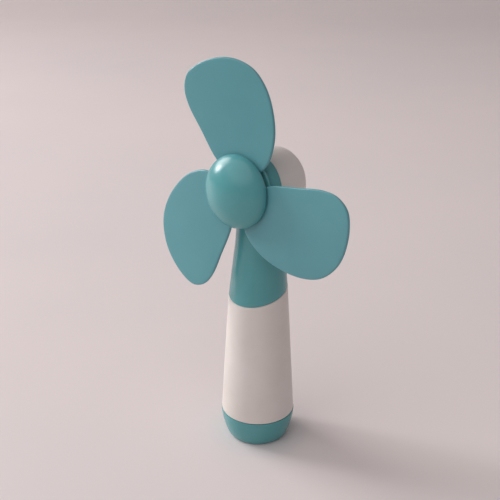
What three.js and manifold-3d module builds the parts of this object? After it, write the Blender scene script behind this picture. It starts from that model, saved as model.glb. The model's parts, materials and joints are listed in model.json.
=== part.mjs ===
// Hand-held electric fan with three soft blades, two cells in the handle and a screw cap for a foot.
// Millimetres, +Z up. The origin is the middle of the flat foot, and the fan blows towards -Y.
import * as THREE from 'three';
import { mergeVertices } from 'three/addons/utils/BufferGeometryUtils.js';
import Module from 'manifold-3d';

const wasm = await Module();
wasm.setup();

// ---- Driving dimensions ----

const DEGREE = Math.PI / 180;
const gap = 0.3; // clearance between neighbouring pieces
const roundSegments = 28;
const smallSegments = 12;

// Foot cap
const capHeight = 14.8;
const capRadius = 19;
const footRadius = 14.6;
const capRoundness = 1.45; // exponent of the curve from the foot to the rim
const capFloor = 1.6;

// Screw thread between the cap and the handle
const threadPitch = 3;
const threadTurns = 1.1;
const threadWidth = 1.0;
const threadStart = 10.7;
const handleThreadRoot = 16.05;
const handleThreadCrest = 16.75;
const capThreadRoot = 17.05;
const capThreadCrest = 16.35;

// Handle
const handleBottom = 9.6; // lower end, inside the cap
const handleBottomRadius = 18.85;
const handleTaper = 0.059; // radius lost for each millimetre of height
const handleBore = 14.95;
const cellLedge = 62.3; // the upper contact carrier is pushed up against this ledge
const spigotBottom = cellLedge + gap;

// Sloping seam between the white handle and the coloured neck
const seamHeight = 83.4;
const seamSlope = 0.29;
const aboveSeam = 92; // higher than any point of the seam

// Neck: half width, half depth and the centre's Y at evenly spaced heights
const neckBottom = 74;
const neckStep = 11;
const neckSections = [
  [15.35, 15.35, 0.1],
  [14.5, 14.3, 0.5],
  [13.7, 13.0, 1.0],
  [12.8, 12.0, 1.7],
  [12.4, 12.9, 3.0],
  [12.9, 14.6, 4.4],
];
const neckTop = neckBottom + neckStep * (neckSections.length - 1);
const wall = 1.5;
const spigotRadius = 13.6;
const spigotBore = 12.1;
const snapHeight = 73.5;

// Motor axis. "Forward" is measured along it from the middle of the head, towards the blades.
const axisHeight = 137.7;
const axisTilt = 4.25 * DEGREE;
const podRadius = 16.8;
const podFront = 10.7;
const podSeam = 3.6;
const podRear = -19;
const frontWall = 8.7; // inner face of the pod's front wall
const podCorner = 3.4; // radius of the pod's front edge
const coverCorner = 8; // size of the rear cover's rounded edge
const screwOffset = 11.6; // each cover screw's distance from the axis
const screwSeat = -2; // where the screw heads bear

// Rotor
const bladeCount = 3;
const firstBladeAngle = 99.9 * DEGREE;
const bladePlane = 13.4;
const bladeHalfThickness = 0.8;
const bladeMiddle = 44.7; // radius at which the twist, the pitch and the cone are measured
const hubRadius = 17.6;
const noseRim = 16.8;
const noseLength = 9;
const noseRoundness = 1.8;
const noseRear = 15.8; // rear edge of the nose cap
const hubRear = 11.4;
const pegX = 11.45; // the peg that holds each blade, measured along and across the blade
const pegY = -1.2;

// Blade outline: distance along the blade from the axis, and offset towards the leading edge
const bladeOutline = [
  [61.4, 5.5], [59.2, 17.6], [54.9, 25.0], [48.0, 27.6], [40.3, 26.1], [28.7, 20.0], [14.7, 12.0],
  [7.2, 4.0], [6.4, -8.0], [12.2, -17.5], [22.6, -22.0], [34.0, -22.3], [46.0, -19.2], [55.0, -13.0],
  [60.0, -4.0],
];

// Motor
const canFront = 8.4;
const canRear = -7.3;
const canRadius = 10.05;
const canHalfWidth = 7.55; // across the flats
const canWall = 0.7;
const bellRear = -11.8;
const shaftRadius = 1;
const shaftHole = 1.2;
const commutatorRadius = 2.3;
const brushOffset = 5.2; // each brush tag's distance from the middle
const bearingRadius = 2.35;
const bearingLength = 2.1;
const coreRadius = 6.7; // armature
const poleRoot = 5.5;
const coreHub = 2.4;

// Two AA cells side by side
const cellRadius = 7.25;
const cellLength = 50.5;
const cellBottom = 6.5;
const cellOffset = 7.35;
const cellNubLength = 1;
const contactBottom = 59.5; // underside of the upper contacts

// Slide switch at the back of the neck
const switchTravel = 3.2;
const switchOff = 95.6; // height of the slider's middle when off
const switchMiddle = switchOff + switchTravel / 2;
const pocketFloor = 13.0;

// ---- Geometry helpers ----

// Closed geometry with shared vertices and outward faces.
function weld(geometry) {
  const bare = geometry.index ? geometry.toNonIndexed() : geometry.clone();
  bare.deleteAttribute('normal');
  bare.deleteAttribute('uv');
  const merged = mergeVertices(bare, 1e-4);
  const position = merged.attributes.position;
  const a = new THREE.Vector3();
  const b = new THREE.Vector3();
  const c = new THREE.Vector3();
  const kept = [];
  let volume = 0;
  for (let i = 0; i < merged.index.count; i += 3) {
    const [p, q, r] = [0, 1, 2].map((k) => merged.index.getX(i + k));
    if (p === q || q === r || r === p) continue;
    a.fromBufferAttribute(position, p);
    b.fromBufferAttribute(position, q);
    c.fromBufferAttribute(position, r);
    volume += a.dot(b.cross(c));
    kept.push([p, q, r]);
  }
  merged.setIndex(kept.flatMap(([p, q, r]) => (volume < 0 ? [p, r, q] : [p, q, r])));
  return merged;
}

function solid(geometry) {
  const closed = weld(geometry);
  const triVerts = new Uint32Array(closed.index.array);
  const vertProperties = closed.attributes.position.array;
  return new wasm.Manifold(new wasm.Mesh({ numProp: 3, vertProperties, triVerts }));
}

function surface(manifold) {
  const mesh = manifold.getMesh();
  const geometry = new THREE.BufferGeometry();
  geometry.setAttribute('position', new THREE.BufferAttribute(mesh.vertProperties, 3));
  geometry.setIndex(new THREE.BufferAttribute(mesh.triVerts, 1));
  return geometry;
}

function join(...geometries) {
  return surface(geometries.map(solid).reduce((whole, piece) => whole.add(piece)));
}

function cut(body, ...tools) {
  return surface(tools.map(solid).reduce((left, tool) => left.subtract(tool), solid(body)));
}

function overlap(first, second) {
  return surface(solid(first).intersect(solid(second)));
}

// Solid of revolution about Z from [radius, height] points.
function turned(profile, segments = roundSegments) {
  const closed = profile[0][0] === 0 ? profile : [...profile, profile[0]];
  const points = closed.map(([radius, height]) => new THREE.Vector2(radius, height));
  return new THREE.LatheGeometry(points, segments).rotateX(Math.PI / 2);
}

function rod(radius, bottom, top, segments = smallSegments) {
  return turned([[0, bottom], [radius, bottom], [radius, top], [0, top]], segments);
}

function tube(inner, outer, bottom, top, segments = smallSegments) {
  return turned([[inner, bottom], [outer, bottom], [outer, top], [inner, top]], segments);
}

// Box from its lowest corner to its highest corner.
function block([x0, y0, z0], [x1, y1, z1]) {
  const box = new THREE.BoxGeometry(x1 - x0, y1 - y0, z1 - z0);
  return box.translate((x0 + x1) / 2, (y0 + y1) / 2, (z0 + z1) / 2);
}

// Flat plate with an outline in XY, from one height to another.
function plate(shape, bottom, top, curveSegments = 4) {
  const settings = { depth: top - bottom, bevelEnabled: false, curveSegments };
  return new THREE.ExtrudeGeometry(shape, settings).translate(0, 0, bottom);
}

function roundedRectangle(halfX, halfY, corner) {
  const shape = new THREE.Shape();
  shape.absarc(halfX - corner, halfY - corner, corner, 0, Math.PI / 2);
  shape.absarc(corner - halfX, halfY - corner, corner, Math.PI / 2, Math.PI);
  shape.absarc(corner - halfX, corner - halfY, corner, Math.PI, 1.5 * Math.PI);
  shape.absarc(halfX - corner, corner - halfY, corner, 1.5 * Math.PI, 2 * Math.PI);
  shape.closePath();
  return shape;
}

// Everything below a plane that slopes up towards the back.
function belowSlope(height, slope) {
  const size = 300;
  const box = new THREE.BoxGeometry(size, size, size).translate(0, 0, -size / 2);
  return box.rotateX(Math.atan(slope)).translate(0, 0, height);
}

// Skin through rings of points, closed at both ends.
function skin(rings) {
  const around = rings[0].length;
  const positions = rings.flat().flatMap((point) => point.toArray());
  const index = [];
  for (let k = 0; k + 1 < rings.length; k += 1) {
    for (let i = 0; i < around; i += 1) {
      const j = (i + 1) % around;
      const [a, b] = [k * around + i, k * around + j];
      const [c, d] = [a + around, b + around];
      index.push(a, b, d, a, d, c);
    }
  }
  for (const [ring, flip] of [[0, true], [rings.length - 1, false]]) {
    const middle = new THREE.Vector3();
    rings[ring].forEach((point) => middle.addScaledVector(point, 1 / around));
    const centre = positions.length / 3;
    positions.push(...middle.toArray());
    for (let i = 0; i < around; i += 1) {
      const [a, b] = [ring * around + i, ring * around + ((i + 1) % around)];
      index.push(centre, ...(flip ? [b, a] : [a, b]));
    }
  }
  const geometry = new THREE.BufferGeometry();
  geometry.setAttribute('position', new THREE.Float32BufferAttribute(positions, 3));
  geometry.setIndex(index);
  return geometry;
}

// Quarter curve from [startRadius, 0] to [endRadius, length], round at the end when roundness is over 1.
function quarterCurve(startRadius, endRadius, length, roundness, steps) {
  const points = [];
  for (let i = 0; i <= steps; i += 1) {
    const angle = (i / steps) * (Math.PI / 2);
    const across = Math.cos(angle) ** (2 / roundness);
    const along = Math.sin(angle) ** (2 / roundness);
    points.push([endRadius + (startRadius - endRadius) * across, length * along]);
  }
  points[0] = [startRadius, 0];
  points[steps] = [endRadius, length];
  return points;
}

// Ridge of a screw thread, its section a trapezium that reaches from the root to the crest.
function threadRidge(root, crest, startHeight, startAngle) {
  const sink = Math.sign(root - crest) * gap; // how far the ridge reaches into its wall
  const steps = Math.round(threadTurns * 24);
  const rings = [];
  for (let i = 0; i <= steps; i += 1) {
    const turn = (i / steps) * threadTurns;
    const angle = startAngle + turn * 2 * Math.PI;
    const height = startHeight + turn * threadPitch;
    const section = [
      [root + sink, -threadWidth / 2], [root + sink, threadWidth / 2],
      [crest, threadWidth / 5], [crest, -threadWidth / 5],
    ];
    rings.push(section.map(([radius, rise]) => new THREE.Vector3(
      radius * Math.cos(angle), radius * Math.sin(angle), height + rise,
    )));
  }
  return skin(rings);
}

// Coil of round wire that narrows from one radius to another.
class ConicalCoil extends THREE.Curve {
  constructor(startRadius, endRadius, startHeight, endHeight, turns) {
    super();
    Object.assign(this, { startRadius, endRadius, startHeight, endHeight, turns });
  }

  getPoint(t, target = new THREE.Vector3()) {
    const angle = t * this.turns * 2 * Math.PI;
    const radius = THREE.MathUtils.lerp(this.startRadius, this.endRadius, t);
    const height = THREE.MathUtils.lerp(this.startHeight, this.endHeight, t);
    return target.set(radius * Math.cos(angle), radius * Math.sin(angle), height);
  }
}

// Round wire along a curve.
function wire(curve, radius, steps, sides = 8) {
  const section = new THREE.Shape();
  section.absarc(0, 0, radius, 0, 2 * Math.PI);
  const settings = { steps, extrudePath: curve, curveSegments: sides / 2, bevelEnabled: false };
  return new THREE.ExtrudeGeometry(section, settings);
}

function wireThrough(points, radius) {
  const curve = new THREE.CatmullRomCurve3(points, false, 'centripetal');
  return wire(curve, radius, Math.ceil(curve.getLength() / 3));
}

// ---- Materials ----

function plastic(color, roughness) {
  return new THREE.MeshStandardMaterial({ color, roughness, metalness: 0 });
}

function metal(color, roughness) {
  return new THREE.MeshStandardMaterial({ color, roughness, metalness: 1 });
}

const teal = () => plastic(0x5fa3a3, 0.3);
const softTeal = () => plastic(0x66a6a8, 0.5);
const white = () => plastic(0xe6dedb, 0.4);
const black = () => plastic(0x232426, 0.5);
const steel = () => metal(0xb8bcc0, 0.35);
const brass = () => metal(0xc9a455, 0.35);
const copper = () => metal(0xb8672f, 0.4);

// ---- Scene graph ----

const fan = new THREE.Group();

// Head frame: X to the right, Y up and Z forward along the motor axis.
const head = new THREE.Group();
head.position.set(0, 0, axisHeight);
head.rotation.x = Math.PI / 2 - axisTilt;
head.updateMatrix();
fan.add(head);

function add(parent, name, geometry, material) {
  const mesh = new THREE.Mesh(geometry, material);
  mesh.name = name;
  parent.add(mesh);
  return mesh;
}

function inHead(geometry) {
  return geometry.applyMatrix4(head.matrix);
}

function headPoint(x, up, forward) {
  return new THREE.Vector3(x, up, forward).applyMatrix4(head.matrix);
}

// ---- Foot cap and lower contacts ----

function footCap() {
  const outside = quarterCurve(capRadius, footRadius, capHeight, capRoundness, 6)
    .map(([radius, depth]) => [radius, capHeight - depth])
    .reverse();
  const post = [[0, 5.4], [1.6, 5.4], [2.6, 4.5], [2.6, 4.1], [1.8, 4.1], [1.8, capFloor]];
  const bowl = [[12.6, capFloor], [14.6, 3.2], [16.0, 6.5]];
  const socketBottom = handleBottom - gap;
  const socket = [[16.3, socketBottom - 0.6], [capThreadRoot, socketBottom], [capThreadRoot, capHeight]];
  const inside = [...post, ...bowl, ...socket].reverse();
  const shell = turned([[0, 0], ...outside, ...inside]);
  return join(shell, threadRidge(capThreadRoot, capThreadCrest, threadStart, Math.PI));
}

// Disc that floats on the cap's post, with two keys that stand between the cells.
function lowerCarrier() {
  const disc = tube(2.1, 12.4, 2.1, 3.7, roundSegments);
  const keys = [-1, 1].map((side) => block([-1.2, side * 8.2 - 1, 3], [1.2, side * 8.2 + 1, 12]));
  return join(disc, ...keys);
}

function bridgeContact() {
  const bar = roundedRectangle(11.3, 4.5, 2);
  const hole = new THREE.Path();
  hole.absarc(0, 0, 3.3, 0, 2 * Math.PI, true);
  bar.holes.push(hole);
  const dimple = rod(2.4, 4.2, cellBottom - gap).translate(cellOffset, 0, 0);
  return join(plate(bar, 4.0, 4.4), dimple);
}

add(fan, 'foot_cap', footCap(), teal());
add(fan, 'lower_contact_carrier', lowerCarrier(), black());
add(fan, 'bridge_contact', bridgeContact(), steel());
const lowerCoil = wire(new ConicalCoil(4.2, 2.2, 5.0, 5.9, 2.5), 0.3, 25, 6);
add(fan, 'lower_spring', lowerCoil, steel()).position.set(-cellOffset, 0, 0);

// ---- Handle, cells and upper contacts ----

function handleTube() {
  const shoulder = capHeight + gap;
  const topRadius = handleBottomRadius - handleTaper * (aboveSeam - capHeight);
  const socket = spigotRadius + gap;
  const groove = spigotRadius + 0.75;
  const grooveHalf = 1.1;
  const profile = [
    [handleBore, handleBottom], [handleThreadRoot, handleBottom], [handleThreadRoot, shoulder],
    [handleBottomRadius - 0.15, shoulder], [handleBottomRadius, shoulder + 0.15],
    [topRadius, aboveSeam], [socket, aboveSeam],
    [socket, snapHeight + grooveHalf], [groove, snapHeight + grooveHalf],
    [groove, snapHeight - grooveHalf], [socket, snapHeight - grooveHalf],
    [socket, cellLedge], [handleBore, cellLedge],
  ];
  const shell = overlap(turned(profile), belowSlope(seamHeight - gap, seamSlope));
  return join(shell, threadRidge(handleThreadRoot, handleThreadCrest, threadStart, 0));
}

// Cell whose nub points up.
function cell() {
  const shoulder = cellLength - cellNubLength;
  return turned([
    [0, 0], [cellRadius - 0.4, 0], [cellRadius, 0.4], [cellRadius, shoulder - 0.5],
    [cellRadius - 0.5, shoulder], [2.7, shoulder], [2.7, cellLength], [0, cellLength],
  ], 20);
}

function upperCarrier() {
  const disc = rod(handleBore - gap, 60.2, 62, roundSegments);
  const holes = [-1, 1].map((side) => block(
    [side * cellOffset - 1, 2, 59], [side * cellOffset + 1, 3.2, 63],
  ));
  return cut(disc, ...holes);
}

// Round contact with a tag that passes up through the carrier; the positive one has a dimple.
function upperContact(hasDimple) {
  const disc = rod(4, contactBottom, contactBottom + 0.4);
  const tag = block([-0.6, 2.4, contactBottom + 0.2], [0.6, 2.8, contactBottom + 5.5]);
  const pieces = [disc, tag];
  if (hasDimple) pieces.push(rod(1.8, cellBottom + cellLength + gap, contactBottom + 0.2));
  return join(...pieces);
}

add(fan, 'handle_tube', handleTube(), white());
add(fan, 'battery_cell_1', cell(), steel()).position.set(-cellOffset, 0, cellBottom);
const secondCell = add(fan, 'battery_cell_2', cell(), steel());
secondCell.position.set(cellOffset, 0, cellBottom + cellLength);
secondCell.rotation.x = Math.PI;
add(fan, 'upper_contact_carrier', upperCarrier(), black());
add(fan, 'positive_contact', upperContact(true), steel()).position.set(-cellOffset, 0, 0);
add(fan, 'negative_contact', upperContact(false), steel()).position.set(cellOffset, 0, 0);
const upperCoil = wire(new ConicalCoil(4.4, 2.6, contactBottom - 0.6, 57.6, 2.5), 0.3, 25, 6);
add(fan, 'upper_spring', upperCoil, steel()).position.set(cellOffset, 0, 0);

// ---- Neck and pod shell ----

// Closed loft of the neck, its surface moved inwards by an inset.
function neckLoft(inset, topHeight, stepsPerSection = 2) {
  const curve = new THREE.CatmullRomCurve3(neckSections.map((section) => new THREE.Vector3(...section)));
  const steps = Math.round((stepsPerSection * (topHeight - neckBottom)) / neckStep);
  const rings = [];
  for (let k = 0; k <= steps; k += 1) {
    const height = neckBottom + (k / steps) * (topHeight - neckBottom);
    const size = curve.getPoint((height - neckBottom) / (neckTop - neckBottom));
    const ring = [];
    for (let i = 0; i < roundSegments; i += 1) {
      const angle = (i / roundSegments) * 2 * Math.PI;
      const x = (size.x - inset) * Math.cos(angle);
      const y = size.z + (size.y - inset) * Math.sin(angle);
      ring.push(new THREE.Vector3(x, y, height));
    }
    rings.push(ring);
  }
  return skin(rings);
}

// Tube that plugs into the handle, with a snap ridge round it.
function neckSpigot() {
  const plug = turned([
    [spigotBore, spigotBottom], [spigotRadius, spigotBottom], [spigotRadius, snapHeight - 0.8],
    [spigotRadius + 0.45, snapHeight], [spigotRadius, snapHeight + 0.8],
    [spigotRadius, aboveSeam], [spigotBore, aboveSeam],
  ]);
  return overlap(plug, belowSlope(seamHeight + 3, seamSlope));
}

function podOutside() {
  const edge = quarterCurve(podRadius, podRadius - podCorner, podCorner, 2, 3)
    .map(([radius, rise]) => [radius, podFront - podCorner + rise]);
  return turned([[0, podRear], [podRadius, podRear], ...edge, [0, podFront]]);
}

// Cradle ribs above and below the motor, and the two bosses for the cover's screws.
function podFittings() {
  const front = frontWall + 0.3;
  const reach = podRadius - 0.6;
  const rib = block([-0.8, canRadius + gap, podSeam + gap], [0.8, reach, front]);
  const boss = join(
    block([8.2, -2.7, podSeam - 3], [14.6, 2.7, front]),
    block([14, -2.7, podSeam + gap], [reach, 2.7, front]),
  );
  const bored = cut(boss, rod(0.85, podSeam - 4, 8).translate(screwOffset, 0, 0));
  return [rib, bored].flatMap((fitting) => [fitting, fitting.clone().rotateZ(Math.PI)]);
}

// Block that thickens the wall behind the slider.
function switchPad() {
  const pad = block([-6, 10.9, switchMiddle - 9], [6, pocketFloor + 0.4, switchMiddle + 9]);
  return overlap(pad, neckLoft(0.2, neckTop, 1));
}

// Pocket for the slider's pad, and the slot that its stem moves in.
function sliderOpenings() {
  const pocket = block([-4.6, pocketFloor, switchMiddle - 7.5], [4.6, 30, switchMiddle + 7.5]);
  const slot = block([-2, 5, switchMiddle - 3.9], [2, 30, switchMiddle + 3.9]);
  return [pocket, slot];
}

function motorHousing() {
  const neck = cut(
    neckLoft(0, neckTop),
    belowSlope(seamHeight, seamSlope),
    inHead(rod(podRadius + gap, podRear - 10, podSeam, roundSegments)),
  );
  const pod = cut(podOutside(), rod(podRadius + 1, podRear - 1, podSeam, roundSegments));
  const outside = join(neck, inHead(pod), neckSpigot());
  const lipRadius = podRadius - wall - gap;
  const lip = turned([
    [lipRadius - 1.4, podSeam - 3], [lipRadius, podSeam - 3], [lipRadius, podSeam],
    [lipRadius + 0.8, podSeam], [lipRadius + 0.8, podSeam + 2], [lipRadius - 1.4, podSeam + 2],
  ]);
  const wireNotch = block([-6.5, -podRadius, podSeam - 4], [6.5, -9, podSeam + 3]);
  const saddle = inHead(rod(podRadius + gap + wall, podRear - 10, podSeam - 1, roundSegments));
  const hollow = cut(
    outside,
    cut(neckLoft(wall, neckTop, 1), belowSlope(seamHeight + 3, seamSlope), saddle),
    inHead(rod(podRadius - wall, podRear, frontWall, roundSegments)),
    rod(spigotBore, 60, seamHeight + 4, roundSegments),
  );
  const fittings = [cut(lip, wireNotch), ...podFittings()].map(inHead);
  const shaftPassage = inHead(rod(3.4, frontWall - 1, podFront + 1));
  return cut(join(hollow, ...fittings, switchPad()), shaftPassage, ...sliderOpenings());
}

add(fan, 'motor_housing', motorHousing(), teal());

// ---- Rear cover ----

// Points of the cover's rounded edge, from its side to its back.
function coverEdge(radius, rear) {
  return quarterCurve(radius, radius - coverCorner, coverCorner, 3.2, 5)
    .map(([r, rise]) => [r, rear + coverCorner - rise]);
}

function rearCover() {
  const front = podSeam - gap;
  const shell = turned([
    [0, podRear], ...coverEdge(podRadius, podRear).reverse(), [podRadius, front], [podRadius - wall, front],
    ...coverEdge(podRadius - wall, podRear + wall), [0, podRear + wall],
  ]);
  const midWall = 0.7;
  const core = turned([
    [0, podRear + midWall], ...coverEdge(podRadius - midWall, podRear + midWall).reverse(),
    [podRadius - midWall, front], [0, front],
  ]);
  const post = join(
    rod(3, podRear, podSeam - 3 - gap).translate(screwOffset, 0, 0),
    block([13, -1, podRear], [podRadius, 1, 0]),
  );
  const rib = block([-0.8, 5, podRear], [0.8, podRadius, bellRear - gap]);
  const fittings = [post, rib].map((fitting) => overlap(fitting, core));
  const well = rod(2.2, podRear - 1, screwSeat).translate(screwOffset, 0, 0);
  const hole = rod(1.3, screwSeat - 1, podSeam).translate(screwOffset, 0, 0);
  const withTwin = (geometry) => [geometry, geometry.clone().rotateZ(Math.PI)];
  return cut(join(shell, ...fittings.flatMap(withTwin)), ...withTwin(well), ...withTwin(hole));
}

// Self-tapping screw with a cross recess, its head at the back.
function coverScrew() {
  const head = screwSeat - gap;
  const shank = turned([
    [0, head - 1.3], [1.5, head - 1.3], [1.9, head - 0.8], [1.9, head], [1.0, head], [1.0, -0.1],
    [0.6, 0.3], [0.6, 6.6], [0, 7.2],
  ], smallSegments);
  const slot = block([-1.1, -0.25, head - 2], [1.1, 0.25, head - 0.7]);
  return cut(shank, slot, slot.clone().rotateZ(Math.PI / 2));
}

add(head, 'rear_cover', rearCover(), white());
for (const [number, side] of [[1, -1], [2, 1]]) {
  add(head, `cover_screw_${number}`, coverScrew(), steel()).position.set(side * screwOffset, 0, 0);
}

// ---- Motor ----

function canOutline(inset) {
  const radius = canRadius - inset;
  const half = canHalfWidth - inset;
  const corner = Math.acos(half / radius);
  const shape = new THREE.Shape();
  shape.absarc(0, 0, radius, corner, Math.PI - corner);
  shape.absarc(0, 0, radius, Math.PI + corner, 2 * Math.PI - corner);
  shape.closePath();
  return shape;
}

function motorCan() {
  const body = plate(canOutline(0), canRear, canFront);
  const boss = rod(3.05, canFront - 0.2, canFront + 1.7);
  const inside = plate(canOutline(canWall), canRear - 1, canFront - canWall);
  const hole = rod(bearingRadius + gap, canFront - 2, canFront + 2);
  const windows = block([-20, -2.2, 3.6], [20, 2.2, 5.6]);
  return cut(join(body, boss), inside, hole, windows);
}

function endBell() {
  const body = plate(canOutline(0), bellRear, canRear - gap);
  const inside = plate(canOutline(1.2), bellRear + 1.2, canRear);
  const hole = rod(bearingRadius + gap, bellRear - 1, canRear);
  const slot = block([brushOffset - 0.5, -6.9, bellRear - 1], [brushOffset + 0.5, -4.2, -9]);
  return cut(body, inside, hole, slot, slot.clone().translate(-2 * brushOffset, 0, 0));
}

function magnet() {
  const halfAngle = 42 * DEGREE;
  const shape = new THREE.Shape();
  shape.absarc(0, 0, canRadius - canWall - gap, Math.PI / 2 - halfAngle, Math.PI / 2 + halfAngle);
  shape.absarc(0, 0, 7.1, Math.PI / 2 + halfAngle, Math.PI / 2 - halfAngle, true);
  shape.closePath();
  return plate(shape, -5, 6.6);
}

// Spring strip that rests on the commutator, with its solder tag outside the bell.
function brush() {
  const inner = commutatorRadius + gap;
  const strip = block([inner, -6.4, -9.3], [inner + 0.35, 1.6, -8.2]);
  const arm = block([inner, -6.4, -9.3], [brushOffset + 0.2, -6.0, -8.2]);
  const tag = block([brushOffset - 0.2, -6.6, bellRear - 2.6], [brushOffset + 0.2, -4.5, -8.2]);
  return join(strip, arm, tag);
}

add(head, 'motor_can', motorCan(), steel());
add(head, 'motor_end_bell', endBell(), white());
add(head, 'motor_magnet_1', magnet(), plastic(0x2c2d30, 0.6));
add(head, 'motor_magnet_2', magnet(), plastic(0x2c2d30, 0.6)).rotation.z = Math.PI;
add(head, 'motor_brush_1', brush(), brass());
add(head, 'motor_brush_2', weld(brush().scale(-1, 1, 1)), brass());
for (const [name, rear] of [['front_bearing', canFront - 0.5], ['rear_bearing', bellRear - 0.5]]) {
  add(head, name, tube(shaftHole, bearingRadius, rear, rear + bearingLength), brass());
}

// ---- Armature ----

function armatureCore() {
  const pole = 38 * DEGREE; // half the angle of a pole
  const stem = 1.1; // half the width of the stem that carries it
  const shape = new THREE.Shape();
  for (let k = 0; k < 3; k += 1) {
    const angle = Math.PI / 2 + (k * 2 * Math.PI) / 3;
    const root = Math.asin(stem / coreHub);
    const tip = Math.asin(stem / poleRoot);
    shape.absarc(0, 0, poleRoot, angle - tip, angle - pole, true);
    shape.absarc(0, 0, coreRadius, angle - pole, angle + pole);
    shape.absarc(0, 0, poleRoot, angle + pole, angle + tip, true);
    shape.absarc(0, 0, coreHub, angle + root, angle + (2 * Math.PI) / 3 - root);
  }
  shape.closePath();
  return cut(plate(shape, -3.5, 5.5, 3), rod(shaftHole, -5, 7));
}

// Copper coil round one stem of the core; it lies across the head's Y axis.
function winding() {
  const ring = roundedRectangle(2.3, 5.8, 0.9);
  ring.holes.push(roundedRectangle(1.35, 4.75, 0.3));
  return plate(ring, 2.7, 4.7, 2).rotateX(-Math.PI / 2).translate(0, 0, 1);
}

add(head, 'motor_shaft', rod(shaftRadius, bellRear - 1, 19.8), steel());
add(head, 'armature_core', armatureCore(), metal(0x6b6e73, 0.5));
for (let k = 0; k < 3; k += 1) {
  add(head, `armature_winding_${k + 1}`, winding(), copper()).rotation.z = (k * 2 * Math.PI) / 3;
}
add(head, 'commutator', tube(shaftHole, commutatorRadius, -9.6, -5.2), copper());

// ---- Rotor ----

// How far a point of the blade stands in front of the blade plane.
function bladeLift(along, across) {
  const beyond = along - bladeMiddle;
  const shaped = 0.0678 * across + (0.0594 * across * beyond) / bladeMiddle
    - (0.0158 * across * across) / 22.4 - 0.0282 * beyond;
  const root = 0.85;
  const blend = THREE.MathUtils.smoothstep(Math.hypot(along, across), 13, 22);
  return THREE.MathUtils.lerp(root, shaped, blend);
}

function blade() {
  const points = bladeOutline.map(([along, across]) => new THREE.Vector3(along, across, 0));
  const outline = new THREE.CatmullRomCurve3(points, true, 'centripetal').getSpacedPoints(32).slice(0, -1);
  const middle = new THREE.Vector3(35, 1, 0);
  const rings = [[0.5, 1], [0.95, 0.9], [1, 0.45]]; // size against the outline, and thickness
  const sheet = (side) => rings.map(([scale, thickness]) => outline.map((edge) => {
    const point = edge.clone().lerp(middle, 1 - scale);
    point.z = bladePlane + bladeLift(point.x, point.y) + side * thickness * bladeHalfThickness;
    return point;
  }));
  const body = skin([...sheet(-1), ...sheet(1).reverse()]);
  return cut(body, rod(2, 0, 30).translate(pegX, pegY, 0));
}

// Copies of a piece at each blade's direction.
function atBlades(geometry) {
  return Array.from({ length: bladeCount }, (_, k) => geometry.clone()
    .rotateZ(firstBladeAngle + (k * 2 * Math.PI) / bladeCount));
}

// Disc behind the blades, with the boss that grips the shaft, a peg for each blade and three cap lips.
function hubCore() {
  const rim = hubRadius - 0.4;
  const front = 13;
  const disc = turned([
    [0, hubRear], [rim - 0.8, hubRear], [rim, hubRear + 0.8], [rim, front], [4.2, front],
    [4.2, 20.4], [3.6, 21], [0, 21],
  ]);
  const lip = new THREE.Shape();
  lip.absarc(0, 0, rim, 46 * DEGREE, 60 * DEGREE);
  lip.absarc(0, 0, rim - 1.8, 60 * DEGREE, 46 * DEGREE, true);
  lip.closePath();
  const pegs = atBlades(rod(1.7, front - 0.5, 17.6).translate(pegX, pegY, 0));
  const lips = atBlades(plate(lip, front - 0.5, noseRear - gap, 3));
  return cut(join(disc, ...pegs, ...lips), rod(shaftHole, 10, 20.1));
}

// Points of a dome from its rim to its tip.
function dome(radius, length, steps) {
  return quarterCurve(radius, 0, length, noseRoundness, steps).map(([r, rise]) => [r, noseRim + rise]);
}

// Domed cap, with a socket inside for each blade's peg.
function noseCap() {
  const inside = dome(hubRadius - wall, noseLength - wall, 4);
  const shell = turned([
    ...inside.reverse(), [hubRadius - wall, noseRear], [hubRadius - gap, noseRear],
    [hubRadius, noseRear + gap], ...dome(hubRadius, noseLength, 7),
  ]);
  const midWall = 0.6;
  const socketRear = noseRear - gap;
  const core = turned([
    ...dome(hubRadius - midWall, noseLength - midWall, 4), [0, socketRear], [hubRadius - midWall, socketRear],
  ]);
  const sockets = atBlades(rod(3.1, socketRear, 22).translate(pegX, pegY, 0));
  const bores = atBlades(rod(2, 15, 18.4).translate(pegX, pegY, 0));
  return cut(join(shell, overlap(join(...sockets), core)), ...bores);
}

add(head, 'hub_core', hubCore(), teal());
add(head, 'nose_cap', noseCap(), teal());
for (let k = 0; k < bladeCount; k += 1) {
  const piece = add(head, `blade_${k + 1}`, blade(), softTeal());
  piece.rotation.z = firstBladeAngle + (k * 2 * Math.PI) / bladeCount;
}

// ---- Slide switch ----

function thumbSlider() {
  const pad = plate(roundedRectangle(4.2, 5.5, 1.2), 0, 2.4, 4);
  const grooves = [-2.4, 0, 2.4].map((height) => block([-3, height - 0.4, 1.8], [3, height + 0.4, 3]));
  const stem = block([-1.7, -2, -2], [1.7, 2, 0.4]);
  const socket = block([-1.3, -1.4, -3], [1.3, 1.4, -0.4]);
  return cut(join(pad, stem), ...grooves, socket);
}

function switchFrame() {
  const outside = block([-4.3, 8.3, -5.3], [4.3, 10.6, 5.3]);
  const inside = block([-3.9, 8, -4.9], [3.9, 10.2, 4.9]);
  const slot = block([-1.4, 9, -3], [1.4, 12, 3]);
  return cut(outside, inside, slot);
}

const terminalHeights = [-2.8, 0, 2.8];

function switchBase() {
  const body = block([-4.2, 5.6, -5.2], [4.2, 8, 5.2]);
  const slots = terminalHeights.map((height) => block([-0.9, 5, height - 0.55], [0.9, 9, height + 0.55]));
  return cut(body, ...slots);
}

function switchLever() {
  return join(block([-3, 8.7, -2.4], [3, 9.9, 2.4]), block([-1, 9.5, -1.1], [1, 12.6, 1.1]));
}

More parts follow.
